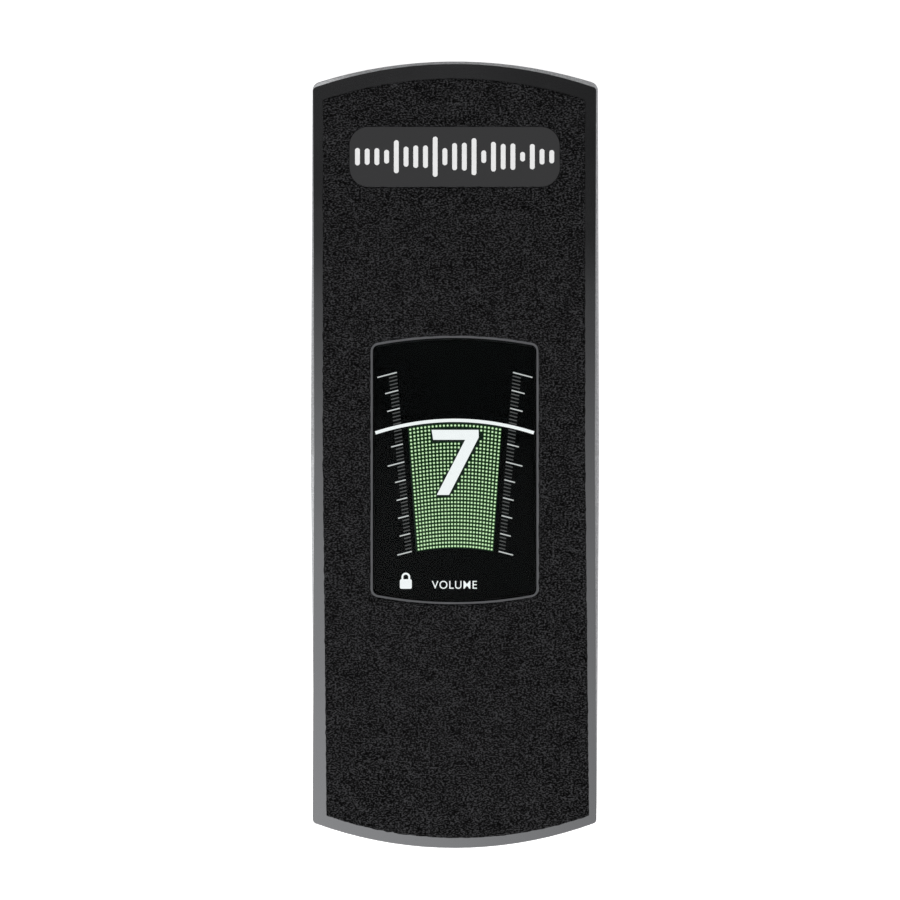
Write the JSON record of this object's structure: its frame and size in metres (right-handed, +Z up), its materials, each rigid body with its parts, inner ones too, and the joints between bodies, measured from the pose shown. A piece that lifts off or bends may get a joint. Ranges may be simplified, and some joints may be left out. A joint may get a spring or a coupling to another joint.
{
  "type": "volume pedal",
  "caption": "Foot volume pedal: a gritty rocking footplate with a touch display set in it, pivoting on an axle in a low metal base with jacks at the toe.",
  "frame": {"origin": "on the floor, under the middle of the pedal", "axes": "+Z up, +Y towards the toe end with the jacks, +X to the right as the foot points to the toe"},
  "size_m": [0.0932, 0.257, 0.0592],
  "materials": {
    "satin_aluminium": "fine satin, cast and blasted",
    "silver_housing": "silver powder coat",
    "zinc_steel": "zinc plated",
    "black_screw": "black oxide",
    "black_rubber": "matte",
    "polished_steel": "ground",
    "bronze": "machined",
    "nickel": "plated",
    "black_plastic": "moulded",
    "white_plastic": "moulded",
    "green_board": "solder mask",
    "capacitor_can": "can",
    "cord_fibre": "braided aramid",
    "lead_jacket": "soft jacket",
    "grip_grit": "coarse grit",
    "badge_black": "smooth",
    "bezel_grey": "satin",
    "gasket_foam": "foam",
    "display_black": "lit display",
    "display_glass": "polished"
  },
  "bodies": {
    "base": {"base_housing": "silver_housing", "base_plate": "zinc_steel", "pot_bracket": "zinc_steel", "pot_body": "zinc_steel", "pot_washer": "zinc_steel", "pot_nut": "zinc_steel", "axle_clips": "zinc_steel", "base_plate_screws": "black_screw", "board_screws": "black_screw", "bracket_screws": "black_screw", "rubber_feet": "black_rubber", "toe_bumpers": "black_rubber", "heel_bumpers": "black_rubber", "pivot_axle": "polished_steel", "pot_bushing": "bronze", "dc_inlet_pin": "bronze", "board_standoffs": "bronze", "input_jack_bushing": "nickel", "input_jack_washer": "nickel", "input_jack_nut": "nickel", "output_jack_bushing": "nickel", "output_jack_washer": "nickel", "output_jack_nut": "nickel", "pot_terminals": "nickel", "input_jack_body": "black_plastic", "output_jack_body": "black_plastic", "dc_inlet_body": "black_plastic", "signal_processor": "black_plastic", "display_connector": "white_plastic", "pot_connector": "white_plastic", "main_board": "green_board", "capacitors": "capacitor_can", "cord_toe_run": "cord_fibre", "cord_heel_run": "cord_fibre", "display_lead": "lead_jacket", "pot_lead": "lead_jacket"},
    "treadle": {"treadle_plate": "satin_aluminium", "pivot_bushings": "bronze", "grip_pad": "grip_grit", "badge_plate": "badge_black", "display_bezel": "bezel_grey", "display_gasket": "gasket_foam", "display_glass": "display_glass", "display_panel": "display_black", "display_board": "green_board", "display_tray": "black_plastic", "tray_screws": "black_screw", "toe_cord_post": "polished_steel", "heel_cord_post": "polished_steel", "tension_spring": "polished_steel"},
    "pot_shaft": {"pot_shaft": "polished_steel", "cord_winding": "cord_fibre", "shaft_collars": "bronze", "collar_set_screws": "black_screw"}
  },
  "joints": [
    {"name": "treadle_rock", "type": "hinge", "parent": "base", "child": "treadle", "pos_m": [0, 0, 0.038], "axis": [1, 0, 0], "range_deg": [-5, 12], "deforming": ["cord_toe_run", "cord_heel_run", "display_lead"]},
    {"name": "pot_spin", "type": "hinge", "parent": "base", "child": "pot_shaft", "pos_m": [0, 0, 0.018], "axis": [1, 0, 0], "range_deg": [-30, 70]}
  ],
  "couplings": [
    {"joint": "pot_spin", "follows": "treadle_rock", "ratio": 5.679}
  ]
}
